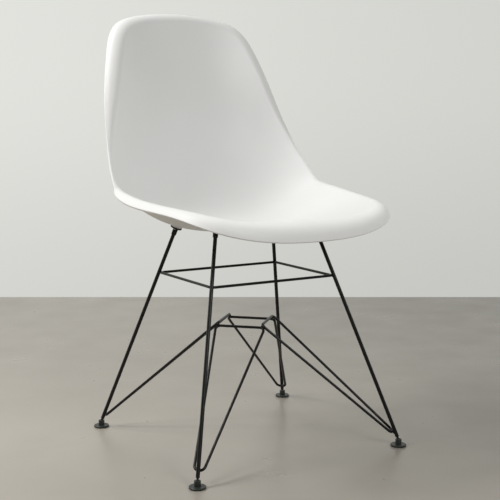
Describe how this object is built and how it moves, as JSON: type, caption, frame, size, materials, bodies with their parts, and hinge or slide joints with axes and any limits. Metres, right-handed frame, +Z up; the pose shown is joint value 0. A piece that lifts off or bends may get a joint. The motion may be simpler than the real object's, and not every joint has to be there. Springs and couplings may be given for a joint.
{
  "type": "shell chair",
  "caption": "Dining chair with a one-piece moulded plastic shell on a base of welded black steel rod with wire braces and tilting glides.",
  "frame": {"origin": "on the floor, midway between the seat's front and the back's rear, in the middle plane", "axes": "+Z up, the sitter faces -Y, the sitter's left is +X"},
  "size_m": [0.4805, 0.5324, 0.8176],
  "materials": {
    "shell_plastic": "satin moulded plastic with a faint grain",
    "rod_coating": "satin black powder coat",
    "washer_rubber": "matt",
    "screw_steel": "black oxide",
    "insert_brass": "turned",
    "stud_steel": "turned",
    "liner_nylon": "natural nylon",
    "glide_plastic": "satin moulded plastic",
    "sole_plastic": "matt moulded plastic"
  },
  "bodies": {
    "chair": {"seat_shell": "shell_plastic", "upper_ring": "rod_coating", "leg_front_right": "rod_coating", "brace_wire_front_right": "rod_coating", "mount_plate_front_right": "rod_coating", "mount_washer_front_right": "washer_rubber", "mount_screws_front_right": "screw_steel", "thread_inserts_front_right": "insert_brass", "glide_ball_stud_front_right": "stud_steel", "leg_front_left": "rod_coating", "brace_wire_front_left": "rod_coating", "mount_plate_front_left": "rod_coating", "mount_washer_front_left": "washer_rubber", "mount_screws_front_left": "screw_steel", "thread_inserts_front_left": "insert_brass", "glide_ball_stud_front_left": "stud_steel", "leg_rear_right": "rod_coating", "brace_wire_rear_right": "rod_coating", "mount_plate_rear_right": "rod_coating", "mount_washer_rear_right": "washer_rubber", "mount_screws_rear_right": "screw_steel", "thread_inserts_rear_right": "insert_brass", "glide_ball_stud_rear_right": "stud_steel", "leg_rear_left": "rod_coating", "brace_wire_rear_left": "rod_coating", "mount_plate_rear_left": "rod_coating", "mount_washer_rear_left": "washer_rubber", "mount_screws_rear_left": "screw_steel", "thread_inserts_rear_left": "insert_brass", "glide_ball_stud_rear_left": "stud_steel"},
    "liner_front_right": {"glide_liner_front_right": "liner_nylon"},
    "foot_front_right": {"glide_foot_front_right": "glide_plastic", "glide_sole_front_right": "sole_plastic"},
    "liner_front_left": {"glide_liner_front_left": "liner_nylon"},
    "foot_front_left": {"glide_foot_front_left": "glide_plastic", "glide_sole_front_left": "sole_plastic"},
    "liner_rear_right": {"glide_liner_rear_right": "liner_nylon"},
    "foot_rear_right": {"glide_foot_rear_right": "glide_plastic", "glide_sole_rear_right": "sole_plastic"},
    "liner_rear_left": {"glide_liner_rear_left": "liner_nylon"},
    "foot_rear_left": {"glide_foot_rear_left": "glide_plastic", "glide_sole_rear_left": "sole_plastic"}
  },
  "joints": [
    {"name": "glide_lean_front_right", "type": "hinge", "parent": "chair", "child": "liner_front_right", "pos_m": [-0.214, -0.2296, 0.012], "axis": [0.7599, -0.65, 0], "range_deg": [-12, 12]},
    {"name": "glide_side_front_right", "type": "hinge", "parent": "liner_front_right", "child": "foot_front_right", "pos_m": [-0.214, -0.2296, 0.012], "axis": [-0.65, -0.7599, 0], "range_deg": [-12, 12]},
    {"name": "glide_lean_front_left", "type": "hinge", "parent": "chair", "child": "liner_front_left", "pos_m": [0.214, -0.2296, 0.012], "axis": [0.7599, 0.65, 0], "range_deg": [-12, 12]},
    {"name": "glide_side_front_left", "type": "hinge", "parent": "liner_front_left", "child": "foot_front_left", "pos_m": [0.214, -0.2296, 0.012], "axis": [0.65, -0.7599, 0], "range_deg": [-12, 12]},
    {"name": "glide_lean_rear_right", "type": "hinge", "parent": "chair", "child": "liner_rear_right", "pos_m": [-0.214, 0.1704, 0.012], "axis": [-0.7599, -0.65, 0], "range_deg": [-12, 12]},
    {"name": "glide_side_rear_right", "type": "hinge", "parent": "liner_rear_right", "child": "foot_rear_right", "pos_m": [-0.214, 0.1704, 0.012], "axis": [-0.65, 0.7599, 0], "range_deg": [-12, 12]},
    {"name": "glide_lean_rear_left", "type": "hinge", "parent": "chair", "child": "liner_rear_left", "pos_m": [0.214, 0.1704, 0.012], "axis": [-0.7599, 0.65, 0], "range_deg": [-12, 12]},
    {"name": "glide_side_rear_left", "type": "hinge", "parent": "liner_rear_left", "child": "foot_rear_left", "pos_m": [0.214, 0.1704, 0.012], "axis": [0.65, 0.7599, 0], "range_deg": [-12, 12]}
  ]
}
